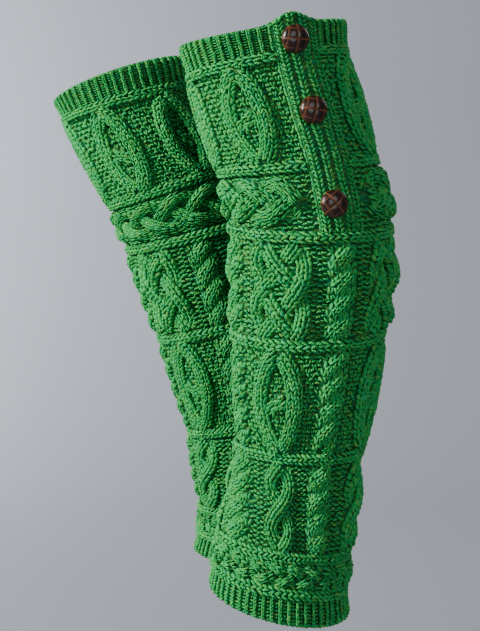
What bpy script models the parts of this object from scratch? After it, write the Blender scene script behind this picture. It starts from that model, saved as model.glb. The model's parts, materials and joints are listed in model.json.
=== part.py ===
"""A pair of cable-knit leg warmers in their worn, hollow form, each with a buttoned placket.

Both are knitted to one chart: a ribbed cuff, six tiers of cables parted by raised braid ridges, and a
ribbed hem. The left one stands nearly upright, and the right one leans towards -X at its top. +Z is up,
-X is the front, and the origin is at the middle of the left cuff's opening. Tables and sizes are in
millimetres, and the points are turned to metres where the meshes are made.
"""

import math
from typing import NamedTuple

import bmesh
import bpy
import numpy as np
from mathutils import Matrix, Vector

MM = 0.001

# The knit.
WALL = 3.0
SEAM_GAP = 0.3
CHART_RADIUS = 55.0
CHART_WIDTH = 2 * math.pi * CHART_RADIUS
LENGTH = 416.0
RIDGE_WIDTH = 7.5
RIDGE_RELIEF = 3.2
# How far below the cuff's edge the middle of each braid ridge lies.
RIDGES = (27.0, 99.0, 147.0, 220.0, 301.0, 372.0, 396.0)
BAND_MARGIN = 0.2
CUFF_END = RIDGES[0] - RIDGE_WIDTH / 2 - BAND_MARGIN
HEM_START = RIDGES[-1] + RIDGE_WIDTH / 2 + BAND_MARGIN

# The ribs of the cuff and the hem.
CUFF_RIBS = 50
HEM_RIBS = 52
CUFF_RINGS = 6
HEM_RINGS = 3
RIB_RELIEF = 1.6

# The placket, which lies on the wall down to the third ridge.
PLACKET_WIDTH = 25.0
PLACKET_WALL = 2.6
PLACKET_RIBS = 4
PLACKET_RINGS = 13
PLACKET_RELIEF = 1.4
PLACKET_END = RIDGES[2] - RIDGE_WIDTH / 2 - 2.0
PLACKET_GAP = 0.6
PLACKET_ROUNDING = 2.5
PEAK_AT = 0.5
PEAK_RISE = 7.0
PEAK_SPREAD = 12.0
CLEAR_HALF = PLACKET_WIDTH / 2 + 1.6
CLEAR_FADE = 3.5

# The cables, by tier: a strand's swing from its middle line, half its width, its height and its course.
OVALS = {"swing": 12.2, "half": 5.2, "height": 3.4, "bulge": 0.65}
OVALS_AT = (43.5, 95.0, 146.5)
WIDE_PLAIT = {"down": 122.0, "swing": 12.4, "lobes": 11, "half": 5.2, "height": 3.8, "lead": 1.5}
WIDE_PLAIT_EDGE = CLEAR_HALF + 11.5
# How far from its ends the wide plait starts to close.
WIDE_PLAIT_CLOSING = 10.0
KNOTS = {"swing": 17.0, "half": 5.8, "height": 4.0}
LONG_OVALS = {"swing": 14.2, "half": 5.8, "height": 3.4, "bulge": 0.75}
WIDE_ROPES = {"swing": 9.4, "turns": 1.0, "half": 6.4, "height": 4.0, "lead": -0.1}
THIN_ROPES = {
    3: {"swing": 5.0, "turns": 2.0, "half": 5.4, "height": 4.0, "lead": -1.5},
    4: {"swing": 5.2, "turns": 2.25, "half": 5.8, "height": 4.0, "lead": -1.5},
    5: {"swing": 6.2, "turns": 2.0, "half": 6.4, "height": 4.0, "lead": -1.5},
}
FINE_PLAIT = {"down": 384.0, "swing": 4.2, "lobes": 24, "half": 4.0, "height": 3.0, "lead": 0.0}
REPEATS = 4
FIRST_ROPE_AT = 1.0
# Where on the chart the lower tiers are drawn together.
GATHERED_AT = -25.0

# The buttons.
BUTTON_RADIUS = 9.8
BUTTON_HEIGHT = 7.2
# Each button's place across the placket, and below the cuff's edge.
BUTTONS_AT = ((-0.5, 18.0), (-0.5, 63.5), (-3.0, 125.0))
# The dome's profile, in shares of the button's radius and height.
BUTTON_PROFILE = ((0.0, 1.0), (0.45, 0.93), (0.8, 0.7), (1.0, 0.32), (0.88, 0.0), (0.0, 0.0))
BUTTON_STEPS = 18

# The fine grid that carries the relief, and what is kept of it.
FINE_COLUMNS = 216
FINE_STEP = 1.7
KEPT_TRIANGLES = 4500
INNER_COLUMNS = 40
INNER_STEP = 38.0
# How far from its ring's plane a point of an open edge may lie.
RIM_REACH = 8.0


class Ring(NamedTuple):
    """A ring of the tube: its middle, how it rises towards +X, and how its -Y side drops, in degrees."""

    down: float
    x: float
    y: float
    z: float
    roll: float
    drop: float


class Girth(NamedTuple):
    """The wall's radius along X below the cables, its share of that along Y, the knit's twist and gather."""

    down: float
    radius: float
    depth: float
    twist: float
    gather: float


class Strand(NamedTuple):
    """A cable strand on the flat chart: its line, its height along the line, and half its width."""

    x: np.ndarray
    down: np.ndarray
    height: np.ndarray
    half: float


class Leg(NamedTuple):
    """One leg warmer: its name, rings, placket angle and handedness, its ropes' lay, and how it gathers."""

    name: str
    rings: tuple
    placket_angle: float
    hand: int
    lay: int
    gathers: float


LEFT = Leg(
    "left",
    (
        Ring(0, 0, 0, 0, 9, 1),
        Ring(27, 4.5, 0, -23, 10, -2),
        Ring(62, 14.5, 0, -58, 8, -1),
        Ring(99, 26, 0, -93, 5.5, 0),
        Ring(147, 35, 0, -137, 0, 5),
        Ring(220, 34, 1, -211, 1, 6),
        Ring(301, 28, 4, -295, -2, 3),
        Ring(336, 23, 5, -330, -6, 2),
        Ring(372, 17, 6, -366, -8, 1),
        Ring(396, 14, 5, -390, -10, 2),
        Ring(420, 13, 4, -413, -12, 6),
    ),
    18.0,
    1,
    -1,
    1.0,
)
RIGHT = Leg(
    "right",
    (
        Ring(0, -113, 170, -22, 18, -6),
        Ring(27, -106, 170, -41, 15, -2),
        Ring(62, -88, 170, -76, 17, 0),
        Ring(99, -70, 170, -109, 18, 0),
        Ring(147, -53, 170, -147, 15, 2),
        Ring(220, -30, 171, -222, 15, 2),
        Ring(301, -13, 173, -306, 12, 1),
        Ring(336, -7, 174, -342, 8, 1),
        Ring(372, -1, 175, -377, 4, 0),
        Ring(396, -1, 175, -400, 1, 1),
        Ring(420, -3, 174, -423, -2, 2),
    ),
    -177.0,
    -1,
    1,
    0.0,
)
GIRTHS = (
    Girth(0, 58.0, 0.95, 0, 0),
    Girth(27, 55.0, 0.95, 0, 0),
    Girth(62, 55.5, 0.94, 0, 0),
    Girth(99, 54.5, 0.94, 0, 0),
    Girth(147, 56.5, 0.93, 0, 0),
    Girth(183, 56.0, 0.93, 0, 0),
    Girth(220, 53.0, 0.92, 0, 0),
    Girth(260, 49.0, 0.92, 0, 0),
    Girth(301, 44.5, 0.92, 3, 4),
    Girth(336, 46.0, 0.92, 8, 8),
    Girth(372, 47.0, 0.93, 15, 8),
    Girth(396, 48.0, 0.94, 16, 0),
    Girth(420, 52.0, 0.95, 16, 0),
)


def smooth(rows, column, down):
    """A table's column read at down, along a curve that passes through every row."""
    at = np.array([row.down for row in rows], float)
    value = np.array([getattr(row, column) for row in rows], float)
    slope = np.gradient(value, at)
    down = np.clip(np.asarray(down, float), at[0], at[-1])
    i = np.clip(np.searchsorted(at, down, side="right") - 1, 0, len(at) - 2)
    step = at[i + 1] - at[i]
    t = (down - at[i]) / step
    return (
        (2 * t**3 - 3 * t**2 + 1) * value[i]
        + (t**3 - 2 * t**2 + t) * step * slope[i]
        + (3 * t**2 - 2 * t**3) * value[i + 1]
        + (t**3 - t**2) * step * slope[i + 1]
    )


def from_placket(x):
    """Chart places round the tube, counted both ways from the placket's middle."""
    return (np.asarray(x, float) + CHART_WIDTH / 2) % CHART_WIDTH - CHART_WIDTH / 2


def peak(x, down):
    """How far the cuff's edge rises beside the placket, fading out down the cuff."""
    fade = np.clip(1 - np.asarray(down, float) / CUFF_END, 0, 1)
    return PEAK_RISE * np.exp(-(((from_placket(x) - PEAK_AT) / PEAK_SPREAD) ** 2)) * fade


def on_leg(leg, x, down, out):
    """Points of a leg in mm, from chart places x and down, and heights out of the wall."""
    x, down, out = np.broadcast_arrays(*(np.asarray(v, float) for v in (x, down, out)))
    wave = np.sin(4 * math.pi * (x - GATHERED_AT) / CHART_WIDTH)
    drawn = x - leg.gathers * smooth(GIRTHS, "gather", down) * wave
    twist = leg.hand * (drawn / CHART_RADIUS + np.radians(smooth(GIRTHS, "twist", down)))
    turn = np.radians(leg.placket_angle) + twist
    roll = np.radians(smooth(leg.rings, "roll", down))
    drop = np.radians(smooth(leg.rings, "drop", down))
    across = smooth(GIRTHS, "radius", down) + out
    deep = smooth(GIRTHS, "radius", down) * smooth(GIRTHS, "depth", down) + out
    side, near, rise = across * np.sin(turn), deep * np.cos(turn), peak(x, down)
    return np.stack(
        [
            smooth(leg.rings, "x", down) + side * np.cos(roll) - rise * np.sin(roll),
            smooth(leg.rings, "y", down) - near * np.cos(drop),
            smooth(leg.rings, "z", down)
            + side * np.sin(roll)
            - near * np.sin(drop)
            + rise * np.cos(roll),
        ],
        axis=-1,
    )


def rope(lay, x, top, bottom, swing, half, height, turns, lead):
    """Two strands that wind round each other down the chart, the way that lay says."""
    down = np.linspace(top, bottom, max(9, int(turns * 16)))
    phase = 2 * math.pi * turns * (down - top) / (bottom - top) + lead
    return [
        Strand(
            x + lay * swing * np.sin(phase + shift),
            down,
            height * (0.62 + 0.38 * np.cos(phase + shift)),
            half,
        )
        for shift in (0.0, math.pi)
    ]


def four_strand_knot(x, top, bottom, swing, half, height):
    """A four-strand plait, two lobes tall. Each strand passes over and under its neighbours in turn."""
    down = np.linspace(top, bottom, 25)
    phase = math.pi * (down - top) / (bottom - top)
    return [
        Strand(
            x + swing * np.sin(phase + shift),
            down,
            height * (0.72 + 0.28 * np.cos(3 * (phase + shift))),
            half,
        )
        for shift in (0.25 * math.pi, 0.75 * math.pi, 1.25 * math.pi, 1.75 * math.pi)
    ]


def medallion(x, top, bottom, swing, half, height, bulge):
    """Two strands that part at the top, bow out and cross at the bottom, round a short slanting knot."""
    down = np.linspace(top, bottom, 21)
    share = (down - top) / (bottom - top)
    bow = swing * np.sin(math.pi * share) ** bulge
    middle, reach = (top + bottom) / 2, swing * 0.42
    return [
        Strand(x - bow, down, np.full(21, height), half),
        Strand(x + bow, down, np.full(21, height * 0.9), half),
        Strand(
            x + np.array([-reach, 0.0, reach]),
            middle + np.array([reach, 0.0, -reach]),
            np.full(3, height * 0.6),
            half * 0.8,
        ),
    ]


def plait_round(down, swing, lobes, half, height, lead, start, end, closing):
    """Three strands that plait round the leg. Each passes over where it turns back to the middle."""
    x = np.linspace(start, end, lobes * 8 + 1)
    phase = 2 * math.pi * lobes * (x - start) / (end - start) / 3 + lead
    swing = swing * np.clip(np.minimum(x - start, end - x) / closing, 0, 1) ** 0.5 if closing else swing
    return [
        Strand(
            x,
            down + swing * np.sin(phase + shift),
            height * (0.65 - 0.35 * np.sin(2 * (phase + shift))),
            half,
        )
        for shift in (0.0, 2 * math.pi / 3, 4 * math.pi / 3)
    ]


def tier(number, inset):
    """Where the ground between two ridges starts and ends, in from the ridges' edges."""
    edge = RIDGE_WIDTH / 2 + inset
    return RIDGES[number - 1] + edge, RIDGES[number] - edge


def chart(lay):
    """Every cable strand of one leg warmer, on the flat chart with the placket at x 0.

    Its ropes wind one way where lay is 1, and the other way where it is -1.
    """
    strands = []
    for x in OVALS_AT:
        for side in (-1, 1):
            strands += medallion(side * x, *tier(1, 3.0), **OVALS)
    start, end = WIDE_PLAIT_EDGE, CHART_WIDTH - WIDE_PLAIT_EDGE
    strands += plait_round(start=start, end=end, closing=WIDE_PLAIT_CLOSING, **WIDE_PLAIT)
    pitch = CHART_WIDTH / REPEATS
    for k in range(REPEATS):
        middle = FIRST_ROPE_AT + pitch * (k + 0.5)
        strands += four_strand_knot(middle, *tier(3, 1.0), **KNOTS)
        strands += medallion(middle, *tier(4, 1.5), **LONG_OVALS)
        strands += rope(lay, middle, *tier(5, 1.0), **WIDE_ROPES)
        for number, sizes in THIN_ROPES.items():
            at = FIRST_ROPE_AT + pitch * k
            strands += rope(lay, at, *tier(number, 0.5), **sizes)
    strands += plait_round(start=0.0, end=CHART_WIDTH, closing=0.0, **FINE_PLAIT)
    return strands


def strand_relief(strand, x, down):
    """How far one strand lifts the points of the chart, on the points near it."""
    lift = np.zeros_like(x)
    wide = strand.half
    for turn in (-1, 0, 1):
        line = np.stack([strand.x + turn * CHART_WIDTH, strand.down], axis=1)
        near = (
            (x > line[:, 0].min() - wide)
            & (x < line[:, 0].max() + wide)
            & (down > line[:, 1].min() - wide)
            & (down < line[:, 1].max() + wide)
        )
        if not near.any():
            continue
        points = np.stack([x[near], down[near]], axis=1)
        best = np.zeros(len(points))
        for i in range(len(line) - 1):
            step = line[i + 1] - line[i]
            t = np.clip((points - line[i]) @ step / (step @ step), 0, 1)
            away = np.linalg.norm(points - line[i] - t[:, None] * step, axis=1)
            tall = strand.height[i] * (1 - t) + strand.height[i + 1] * t
            best = np.maximum(
                best, tall * np.sqrt(np.clip(1 - (away / wide) ** 2, 0, 1))
            )
        lift[near] = np.maximum(lift[near], best)
    return lift


def knit_relief(strands, x, down):
    """How far the cables and ridges stand out of the wall, with room left under the placket."""
    x = from_placket(x)
    lift = np.zeros_like(x)
    for strand in strands:
        lift = np.maximum(lift, strand_relief(strand, x, down))
    for middle in RIDGES:
        share = np.clip(1 - ((down - middle) / (RIDGE_WIDTH / 2)) ** 2, 0, 1)
        lift = np.maximum(lift, RIDGE_RELIEF * np.sqrt(share))
    beside = np.clip((np.abs(x) - CLEAR_HALF) / CLEAR_FADE, 0, 1)
    return lift * np.where(down < PLACKET_END + 1.0, beside, 1.0)


def mesh_object(name, points, faces, material, collection):
    """A named object from points in mm, with shared points welded and its faces turned outwards."""
    mesh = bpy.data.meshes.new(name)
    mesh.from_pydata((np.asarray(points) * MM).tolist(), [], faces)
    shape = bmesh.new()
    shape.from_mesh(mesh)
    bmesh.ops.recalc_face_normals(shape, faces=shape.faces)
    shape.to_mesh(mesh)
    shape.free()
    mesh.shade_smooth()
    mesh.set_sharp_from_angle(angle=math.radians(45))
    mesh.materials.append(material)
    built = bpy.data.objects.new(name, mesh)
    collection.objects.link(built)
    return built


def tube_faces(rows, columns, start=0):
    """The quads between the rings of a tube, whose points run row by row."""
    row, column = np.meshgrid(np.arange(rows - 1), np.arange(columns), indexing="ij")
    after = (column + 1) % columns
    quads = np.stack(
        [
            row * columns + column,
            row * columns + after,
            (row + 1) * columns + after,
            (row + 1) * columns + column,
        ],
        axis=-1,
    )
    return (quads.reshape(-1, 4) + start).tolist()


def zip_loops(first, first_at, second, second_at):
    """Triangles between two closed loops of points, each sorted by its place round the ring."""
    faces, i, j = [], 0, 0
    n, m = len(first), len(second)
    first_at = np.append(first_at, first_at[0] + 1)
    second_at = np.append(second_at, second_at[0] + 1)
    while i < n or j < m:
        if j == m or (i < n and first_at[i + 1] <= second_at[j + 1]):
            faces.append((first[i % n], first[(i + 1) % n], second[j % m]))
            i += 1
        else:
            faces.append((first[i % n], second[(j + 1) % m], second[j % m]))
            j += 1
    return faces


def thinned(points, faces, keep):
    """A fine mesh brought down to about keep triangles, which leaves them where the relief turns."""
    mesh = bpy.data.meshes.new("fine")
    mesh.from_pydata((points * MM).tolist(), [], faces)
    fine = bpy.data.objects.new("fine", mesh)
    bpy.context.scene.collection.objects.link(fine)
    thin = fine.modifiers.new("thin", "DECIMATE")
    thin.ratio = keep / (2 * len(faces))
    bpy.context.view_layer.update()
    graph = bpy.context.evaluated_depsgraph_get()
    kept = bpy.data.meshes.new_from_object(fine.evaluated_get(graph))
    bpy.data.objects.remove(fine)
    points = np.array([v.co for v in kept.vertices]) / MM
    faces = [tuple(p.vertices) for p in kept.polygons]
    bpy.data.meshes.remove(kept)
    return points, faces


def edge_loop(points, faces, leg, down):
    """The open edge of a mesh on the ring at down: its points in order, and their places round it."""
    uses = {}
    for face in faces:
        for a, b in zip(face, face[1:] + face[:1]):
            key = (min(a, b), max(a, b))
            uses[key] = uses.get(key, 0) + 1
    edge = {point for key, count in uses.items() if count == 1 for point in key}
    quarters = np.array([0.0, 0.25, 0.5, 0.75]) * CHART_WIDTH
    corners = on_leg(leg, quarters, down, 0.0)
    middle = (corners[0] + corners[2]) / 2
    ahead, aside = corners[0] - middle, corners[1] - middle
    upright = np.cross(ahead, aside)
    upright /= np.linalg.norm(upright)
    near = [i for i in edge if abs((points[i] - middle) @ upright) < RIM_REACH]
    offset = points[near] - middle
    turn = np.arctan2(
        offset @ aside / (aside @ aside), offset @ ahead / (ahead @ ahead)
    )
    at = (turn / (2 * math.pi)) % 1.0
    order = np.argsort(at)
    return [near[i] for i in order], at[order]


def wall(leg, name, x_columns, downs, out, material, collection, keep=None):
    """A tube of knit: an outer face with relief, a plain inner face, and rims that join them."""
    columns, rows = len(x_columns), len(downs)
    x, down = np.meshgrid(x_columns, downs)
    outer = on_leg(leg, x, down, out(x, down)).reshape(-1, 3)
    faces = tube_faces(rows, columns)
    if keep:
        outer, faces = thinned(outer, faces, keep)
        rims = [edge_loop(outer, [tuple(f) for f in faces], leg, d) for d in (downs[0], downs[-1])]
    else:
        at = np.asarray(x_columns) / CHART_WIDTH
        rims = [(list(range(columns)), at), (list(range(len(outer) - columns, len(outer))), at)]
    inner_at = np.arange(INNER_COLUMNS) / INNER_COLUMNS
    inner_rows = max(3, round((downs[-1] - downs[0]) / INNER_STEP) + 1)
    x, down = np.meshgrid(
        inner_at * CHART_WIDTH, np.linspace(downs[0], downs[-1], inner_rows)
    )
    start = len(outer)
    inner = on_leg(leg, x, down, -WALL).reshape(-1, 3)
    faces += tube_faces(inner_rows, INNER_COLUMNS, start)
    for (rim, rim_at), first in zip(rims, (0, (inner_rows - 1) * INNER_COLUMNS)):
        ring = list(range(start + first, start + first + INNER_COLUMNS))
        faces += zip_loops(rim, rim_at, ring, inner_at)
    return mesh_object(name, np.concatenate([outer, inner]), faces, material, collection)


def cable_panel(leg, material, collection):
    """The body of the leg warmer, from under the cuff to above the hem."""
    downs = np.linspace(
        CUFF_END + SEAM_GAP / 2,
        HEM_START - SEAM_GAP / 2,
        round((HEM_START - CUFF_END) / FINE_STEP) + 1,
    )
    columns = np.arange(FINE_COLUMNS) * CHART_WIDTH / FINE_COLUMNS
    name = f"{leg.name}_cable_panel"
    strands = chart(leg.lay)

    def out(x, down):
        return knit_relief(strands, x, down)

    return wall(leg, name, columns, downs, out, material, collection, KEPT_TRIANGLES)


def rib_band(leg, name, ribs, start, end, rings, material, collection):
    """A ribbed band: each rib is a crest with a trough beside it, and it is plain behind the placket."""
    columns = np.arange(2 * ribs) * CHART_WIDTH / (2 * ribs)
    crest = np.arange(2 * ribs) % 2 == 0

    def out(x, down):
        covered = (np.abs(from_placket(x)) < CLEAR_HALF) & (down < CUFF_END)
        return np.where(crest[None, :] & ~covered, RIB_RELIEF, 0.0)

    downs = np.linspace(start, end, rings)
    return wall(leg, name, columns, downs, out, material, collection)


def placket(leg, material, collection):
    """The ribbed button band: a slab that lies on the wall, rounded at its top."""
    half = PLACKET_WIDTH / 2
    columns = np.linspace(-half, half, 2 * PLACKET_RIBS + 1)
    crest = np.arange(2 * PLACKET_RIBS + 1) % 2 == 1
    on_cuff = np.linspace(0.0, CUFF_END, CUFF_RINGS)
    on_panel = np.linspace(CUFF_END, PLACKET_END, PLACKET_RINGS)
    downs = np.concatenate([on_cuff, on_panel[1:]])
    x, down = np.meshgrid(columns, downs)
    down[0] = downs[0] + PLACKET_ROUNDING * (columns / half) ** 2
    thick = PLACKET_WALL + PLACKET_RELIEF * crest[None, :] * np.ones_like(x)
    outer = on_leg(leg, x, down, PLACKET_GAP + thick).reshape(-1, 3)
    inner = on_leg(leg, x, down, PLACKET_GAP).reshape(-1, 3)
    rows, wide = x.shape
    faces, count = [], rows * wide
    for r in range(rows - 1):
        for c in range(wide - 1):
            a, b = r * wide + c, r * wide + c + 1
            faces.append((a, b, b + wide, a + wide))
            faces.append((a + count, a + wide + count, b + wide + count, b + count))
    border = list(range(wide))
    border += [r * wide + wide - 1 for r in range(1, rows)]
    border += [(rows - 1) * wide + c for c in range(wide - 2, -1, -1)]
    border += [r * wide for r in range(rows - 2, 0, -1)]
    for a, b in zip(border, border[1:] + border[:1]):
        faces.append((a, a + count, b + count, b))
    name = f"{leg.name}_placket"
    return mesh_object(name, np.concatenate([outer, inner]), faces, material, collection)


def button(leg, number, x, down, material, collection):
    """A domed leather button, turned from its profile, standing on the placket's ribs."""
    name = f"{leg.name}_button_{number}"
    mesh = bpy.data.meshes.new(name)
    mesh.from_pydata(
        [(r * BUTTON_RADIUS * MM, 0.0, h * BUTTON_HEIGHT * MM) for r, h in BUTTON_PROFILE],
        [(i, i + 1) for i in range(len(BUTTON_PROFILE) - 1)],
        [],
    )
    mesh.materials.append(material)
    built = bpy.data.objects.new(name, mesh)
    turned = built.modifiers.new("turned", "SCREW")
    turned.steps = turned.render_steps = BUTTON_STEPS
    turned.use_merge_vertices = True
    turned.merge_threshold = 0.00001
    turned.use_smooth_shade = True
    seat = PLACKET_GAP + PLACKET_WALL + PLACKET_RELIEF + SEAM_GAP
    around = on_leg(leg, [x, x + 1.0, x], [down, down, down + 1.0], seat)
    out = np.cross(around[1] - around[0], around[2] - around[0]) * -leg.hand
    out /= np.linalg.norm(out)
    place = around[0]
    turn = Vector(out).to_track_quat("Z", "Y").to_matrix().to_4x4()
    built.matrix_world = Matrix.Translation(Vector(place * MM)) @ turn
    collection.objects.link(built)
    return built


def finish(name, colour, roughness):
    """A material of one colour and roughness."""
    made = bpy.data.materials.new(name)
    made.use_nodes = True
    shader = made.node_tree.nodes["Principled BSDF"]
    shader.inputs["Base Color"].default_value = (*colour, 1.0)
    shader.inputs["Roughness"].default_value = roughness
    shader.inputs["Metallic"].default_value = 0.0
    return made


def main():
    """Clears the scene and builds both leg warmers."""
    for old in list(bpy.data.objects):
        bpy.data.objects.remove(old)
    collection = bpy.data.collections.new("leg_warmers")
    bpy.context.scene.collection.children.link(collection)
    wool = finish("green_wool", (0.05, 0.26, 0.08), 0.9)
    leather = finish("brown_leather", (0.09, 0.025, 0.01), 0.35)
    for leg in (LEFT, RIGHT):
        cuff_end, hem_start = CUFF_END - SEAM_GAP / 2, HEM_START + SEAM_GAP / 2
        rib_band(leg, f"{leg.name}_cuff", CUFF_RIBS, 0.0, cuff_end, CUFF_RINGS, wool, collection)
        cable_panel(leg, wool, collection)
        rib_band(leg, f"{leg.name}_hem", HEM_RIBS, hem_start, LENGTH, HEM_RINGS, wool, collection)
        placket(leg, wool, collection)
        for number, (x, down) in enumerate(BUTTONS_AT, 1):
            button(leg, number, x, down, leather, collection)


main()
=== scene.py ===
"""A pair of cable-knit leg warmers: their yarn, stitches and leather buttons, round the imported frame.

Each leg warmer is a thin knitted tube. Every stitch that shows is a small leaf-shaped loop of yarn, laid
on the tube along the cables, ribs and ridges of one flat chart, which is then wrapped round the leg's
form. Tables and sizes are in millimetres, and points are turned to metres where the meshes are made.
"""

import json
import logging
import math
from dataclasses import dataclass, field
from enum import Enum
from typing import NamedTuple

import bpy
import numpy as np
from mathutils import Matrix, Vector

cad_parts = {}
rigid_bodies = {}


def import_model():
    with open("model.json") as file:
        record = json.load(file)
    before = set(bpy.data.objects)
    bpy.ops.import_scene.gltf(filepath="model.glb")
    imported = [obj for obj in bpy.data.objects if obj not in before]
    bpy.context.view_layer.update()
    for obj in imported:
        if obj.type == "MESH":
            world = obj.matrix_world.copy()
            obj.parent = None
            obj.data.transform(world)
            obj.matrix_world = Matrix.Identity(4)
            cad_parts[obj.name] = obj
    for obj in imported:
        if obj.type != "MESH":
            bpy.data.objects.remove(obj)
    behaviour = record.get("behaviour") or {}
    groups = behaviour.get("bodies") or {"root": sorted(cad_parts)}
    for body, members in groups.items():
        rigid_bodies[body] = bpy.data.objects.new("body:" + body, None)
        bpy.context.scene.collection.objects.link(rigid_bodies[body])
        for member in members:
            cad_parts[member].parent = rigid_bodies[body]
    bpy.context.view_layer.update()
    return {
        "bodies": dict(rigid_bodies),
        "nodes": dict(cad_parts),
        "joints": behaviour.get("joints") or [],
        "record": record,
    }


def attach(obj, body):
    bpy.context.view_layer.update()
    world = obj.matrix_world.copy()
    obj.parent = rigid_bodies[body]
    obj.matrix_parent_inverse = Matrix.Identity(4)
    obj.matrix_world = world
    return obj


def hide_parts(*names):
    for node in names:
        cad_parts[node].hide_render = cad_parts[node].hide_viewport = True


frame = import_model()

logging.basicConfig(level=logging.INFO, format="%(message)s")
LOG = logging.getLogger("leg_warmers")

Array = np.ndarray
Material = bpy.types.Material
Piece = bpy.types.Object
Socket = bpy.types.NodeSocket
Tree = bpy.types.ShaderNodeTree

MM = 0.001

# How far the stitches, and the tube under them, are sunk into the part's plain wall.
SINK = 0.8

# The knit, as in the part's source.
WALL = 3.0
CHART_RADIUS = 55.0
CHART_WIDTH = 2 * math.pi * CHART_RADIUS
LENGTH = 416.0
RIDGE_WIDTH = 7.5
RIDGES = (27.0, 99.0, 147.0, 220.0, 301.0, 372.0, 396.0)
BAND_MARGIN = 0.2
CUFF_END = RIDGES[0] - RIDGE_WIDTH / 2 - BAND_MARGIN
HEM_START = RIDGES[-1] + RIDGE_WIDTH / 2 + BAND_MARGIN
CUFF_RIBS = 50
HEM_RIBS = 52
# Where on the chart the lower tiers are drawn together.
GATHERED_AT = -25.0

# The placket, as in the part's source.
PLACKET_WIDTH = 25.0
PLACKET_WALL = 2.6
PLACKET_RIBS = 4
PLACKET_GAP = 0.6
PLACKET_END = RIDGES[2] - RIDGE_WIDTH / 2 - 2.0
PEAK_AT = 0.5
PEAK_RISE = 7.0
PEAK_SPREAD = 12.0
CLEAR_HALF = PLACKET_WIDTH / 2 + 1.6
BUTTONS_AT = ((-0.5, 18.0), (-0.5, 63.5), (-3.0, 125.0))
BUTTON_OUT = 4.9
# The placket's last rib lies past its edge, on the knit that rises to it.
LAST_RIB_AT = 14.6


class Ring(NamedTuple):
    """A ring of the tube: its middle, how it rises towards +X, and how its -Y side drops, in degrees."""

    down: float
    x: float
    y: float
    z: float
    roll: float
    drop: float


class Girth(NamedTuple):
    """The wall's radius along X below the cables, its share of that along Y, the knit's twist and gather."""

    down: float
    radius: float
    depth: float
    twist: float
    gather: float


GIRTHS = (
    Girth(0, 58.0, 0.95, 0, 0),
    Girth(27, 55.0, 0.95, 0, 0),
    Girth(62, 55.5, 0.94, 0, 0),
    Girth(99, 54.5, 0.94, 0, 0),
    Girth(147, 56.5, 0.93, 0, 0),
    Girth(183, 56.0, 0.93, 0, 0),
    Girth(220, 53.0, 0.92, 0, 0),
    Girth(260, 49.0, 0.92, 0, 0),
    Girth(301, 44.5, 0.92, 3, 4),
    Girth(336, 46.0, 0.92, 8, 8),
    Girth(372, 47.0, 0.93, 15, 8),
    Girth(396, 48.0, 0.94, 16, 0),
    Girth(420, 52.0, 0.95, 16, 0),
)
LEFT_RINGS = (
    Ring(0, 0, 0, 0, 9, 1),
    Ring(27, 4.5, 0, -23, 10, -2),
    Ring(62, 14.5, 0, -58, 8, -1),
    Ring(99, 26, 0, -93, 5.5, 0),
    Ring(147, 35, 0, -137, 0, 5),
    Ring(220, 34, 1, -211, 1, 6),
    Ring(301, 28, 4, -295, -2, 3),
    Ring(336, 23, 5, -330, -6, 2),
    Ring(372, 17, 6, -366, -8, 1),
    Ring(396, 14, 5, -390, -10, 2),
    Ring(420, 13, 4, -413, -12, 6),
)
RIGHT_RINGS = (
    Ring(0, -113, 170, -22, 18, -6),
    Ring(27, -106, 170, -41, 15, -2),
    Ring(62, -88, 170, -76, 17, 0),
    Ring(99, -70, 170, -109, 18, 0),
    Ring(147, -53, 170, -147, 15, 2),
    Ring(220, -30, 171, -222, 15, 2),
    Ring(301, -13, 173, -306, 12, 1),
    Ring(336, -7, 174, -342, 8, 1),
    Ring(372, -1, 175, -377, 4, 0),
    Ring(396, -1, 175, -400, 1, 1),
    Ring(420, -3, 174, -423, -2, 2),
)


class Ground(Enum):
    """What the knit between the cables of a tier is."""

    MOSS = "moss stitch"
    PURL = "reverse stockinette"


class Slot(Enum):
    """The record's material slots."""

    WOOL = "green_wool"
    LEATHER = "brown_leather"


def smooth(rows: tuple, column: str, down: Array) -> Array:
    """Reads a table's column along a cubic curve that passes through every row.

    Args:
        rows: The table.
        column: The column's name.
        down: Where to read it, in mm below the cuff's edge.

    Returns:
        The values there.
    """
    at = np.array([row.down for row in rows], float)
    value = np.array([getattr(row, column) for row in rows], float)
    slope = np.gradient(value, at)
    down = np.clip(down, at[0], at[-1])
    i = np.clip(np.searchsorted(at, down, side="right") - 1, 0, len(at) - 2)
    step = at[i + 1] - at[i]
    t = (down - at[i]) / step
    return (
        (2 * t**3 - 3 * t**2 + 1) * value[i]
        + (t**3 - 2 * t**2 + t) * step * slope[i]
        + (3 * t**2 - 2 * t**3) * value[i + 1]
        + (t**3 - t**2) * step * slope[i + 1]
    )


def bell(away: Array, half: float) -> Array:
    """A bell curve of a distance: e to the power of minus the square of away over half."""
    return np.exp(-((away / half) ** 2))


def from_placket(x: Array) -> Array:
    """Chart places round the tube, counted both ways from the placket's middle."""
    return (x + CHART_WIDTH / 2) % CHART_WIDTH - CHART_WIDTH / 2


def chart_grid(top: float, bottom: float, rows: int, columns: int) -> tuple[Array, Array]:
    """Even places in a band of the chart, the rows half a step in from its edges.

    Args:
        top: Where the band starts, down the chart.
        bottom: Where it ends.
        rows: How many rows it has.
        columns: How many places a row has, round the whole chart.

    Returns:
        The places' down and x, each of shape (rows, columns).
    """
    down = top + (np.arange(rows) + 0.5) * (bottom - top) / rows
    return tuple(np.meshgrid(down, np.arange(columns) * CHART_WIDTH / columns, indexing="ij"))


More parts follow.
